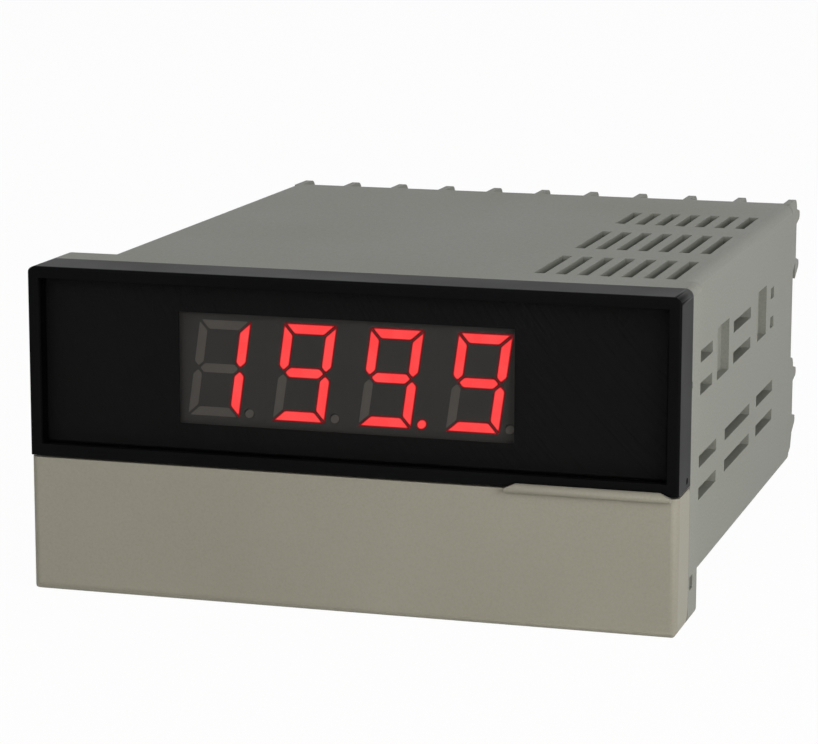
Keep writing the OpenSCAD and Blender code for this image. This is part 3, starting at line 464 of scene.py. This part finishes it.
def makeMask(values):
    lowest, highest = [[c / mm for c in corner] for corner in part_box("window_mask")]
    shape = bmesh.new()
    corners = [(lowest[0], lowest[2]), (highest[0], lowest[2]), (highest[0], highest[2]),
               (lowest[0], highest[2])]
    shape.faces.new([shape.verts.new((x, highest[1], z)) for x, z in corners])
    for side in (-1, 1):
        for place, normal in (((values["middleX"] + side * values["width"] / 2, 0, 0), (1, 0, 0)),
                              ((0, 0, values["middleZ"] + side * values["height"] / 2), (0, 0, 1))):
            bmesh.ops.bisect_plane(shape, geom=shape.verts[:] + shape.edges[:] + shape.faces[:],
                                   plane_co=place, plane_no=normal)
    centre = Vector((values["middleX"], highest[1], values["middleZ"]))
    middle = min(shape.faces, key=lambda face: (face.calc_center_median() - centre).length)
    bmesh.ops.delete(shape, geom=[middle], context="FACES_ONLY")
    bmesh.ops.recalc_face_normals(shape, faces=shape.faces)
    drawn = bmesh.ops.extrude_face_region(shape, geom=shape.faces[:], use_keep_orig=True)
    moved = [v for v in drawn["geom"] if isinstance(v, bmesh.types.BMVert)]
    bmesh.ops.translate(shape, verts=moved, vec=(0, lowest[1] - highest[1], 0))
    bmesh.ops.scale(shape, vec=(mm, mm, mm), verts=shape.verts)
    placePiece("window_print", shape, [finishes["maskPrint"]], "case", "mask_print", "window_mask")


makeMask(maskWindow)

# the room around the meter, sizes in metres

say("studio")

studio = {"floorSize": 6.0, "floorColour": "f4f4f2", "whiteness": 0.97, "room": 0.2,
          "backdrop": 1.0}


def seenDirectly(tree):
    # 1 where the eye, a mirror or a glass sees the surroundings, 0 where they only light the meter
    rays = addNode(tree, "ShaderNodeLightPath")
    mirrored = addNode(tree, "ShaderNodeMath", {
        0: rays.outputs["Is Glossy Ray"], 1: rays.outputs["Is Transmission Ray"]},
        operation="MAXIMUM")
    seen = addNode(tree, "ShaderNodeMath", {
        0: rays.outputs["Is Camera Ray"], 1: mirrored.outputs["Value"]}, operation="MAXIMUM")
    return seen.outputs["Value"]


def makeStudio(values):
    grid = bmesh.new()
    bmesh.ops.create_grid(grid, x_segments=1, y_segments=1, size=values["floorSize"] / 2)
    mesh = bpy.data.meshes.new("floor")
    grid.to_mesh(mesh)
    grid.free()
    floor = bpy.data.objects.new("floor", mesh)
    bpy.context.scene.collection.objects.link(floor)
    material, tree, output = newMaterial("studioPaper")
    seen = addNode(tree, "ShaderNodeMath", {0: seenDirectly(tree), 1: values["whiteness"]},
                   operation="MULTIPLY")
    paper = addNode(tree, "ShaderNodeBsdfDiffuse", {"Color": linear(values["floorColour"])})
    bright = addNode(tree, "ShaderNodeEmission",
                     {"Color": (1, 1, 1, 1), "Strength": values["backdrop"]})
    mixed = addNode(tree, "ShaderNodeMixShader", {
        "Fac": seen.outputs["Value"], 1: paper.outputs["BSDF"], 2: bright.outputs["Emission"]})
    tree.links.new(mixed.outputs["Shader"], output.inputs["Surface"])
    mesh.materials.append(material)


makeStudio(studio)

world = bpy.data.worlds.new("softRoom")
bpy.context.scene.world = world
world.use_nodes = True
world.node_tree.nodes.clear()
worldOut = addNode(world.node_tree, "ShaderNodeOutputWorld")
room = addNode(world.node_tree, "ShaderNodeBackground", {
    "Color": (1, 1, 1, 1), "Strength": studio["room"]})
backdrop = addNode(world.node_tree, "ShaderNodeBackground", {
    "Color": (1, 1, 1, 1), "Strength": studio["backdrop"]})
seenRoom = addNode(world.node_tree, "ShaderNodeMixShader", {
    "Fac": seenDirectly(world.node_tree), 1: room.outputs["Background"],
    2: backdrop.outputs["Background"]})
world.node_tree.links.new(seenRoom.outputs["Shader"], worldOut.inputs["Surface"])

lamps = {
    "keyLamp": {"place": (0.5, -0.36, 0.2), "aim": (0, -0.03, 0.02), "size": 0.4, "power": 2.7},
    "fillLamp": {"place": (-0.5, -1.1, 0.5), "aim": (0, 0, 0.02), "size": 0.8, "power": 3.3},
    "topLamp": {"place": (-0.2, 0.5, 1.2), "aim": (0, 0, 0.02), "size": 0.8, "power": 1.3},
}


def addLamp(name, values):
    data = bpy.data.lights.new(name, "AREA")
    data.size = values["size"]
    data.energy = values["power"]
    lamp = bpy.data.objects.new(name, data)
    bpy.context.scene.collection.objects.link(lamp)
    place = Vector(values["place"])
    turn = (Vector(values["aim"]) - place).to_track_quat("-Z", "Y").to_matrix().to_4x4()
    lamp.matrix_world = Matrix.Translation(place) @ turn


for name, values in lamps.items():
    addLamp(name, values)

# the camera, with its place around the target in degrees and mm

view = {"azimuth": 16.4619, "elevation": 10.8289, "roll": 0.1072, "distance": 432.853,
        "target": (9.4018, -59.75, 35.4258), "lens": 136.43, "sensor": 36, "shiftX": 0.0002,
        "shiftY": 0.0017, "clipStart": 0.01}


def addCamera(values):
    data = bpy.data.cameras.new("camera")
    data.sensor_width = values["sensor"]
    data.lens = values["lens"]
    data.shift_x = values["shiftX"]
    data.shift_y = values["shiftY"]
    data.clip_start = values["clipStart"]
    camera = bpy.data.objects.new("camera", data)
    bpy.context.scene.collection.objects.link(camera)
    azimuth = math.radians(values["azimuth"])
    elevation = math.radians(values["elevation"])
    back = Vector((math.sin(azimuth) * math.cos(elevation),
                   -math.cos(azimuth) * math.cos(elevation), math.sin(elevation)))
    place = (Vector(values["target"]) + back * values["distance"]) * mm
    turn = back.to_track_quat("Z", "Y").to_matrix().to_4x4()
    roll = Matrix.Rotation(math.radians(values["roll"]), 4, "Z")
    camera.matrix_world = Matrix.Translation(place) @ (turn @ roll)
    bpy.context.scene.camera = camera


addCamera(view)
bpy.context.scene.view_settings.view_transform = "Standard"

say("done")
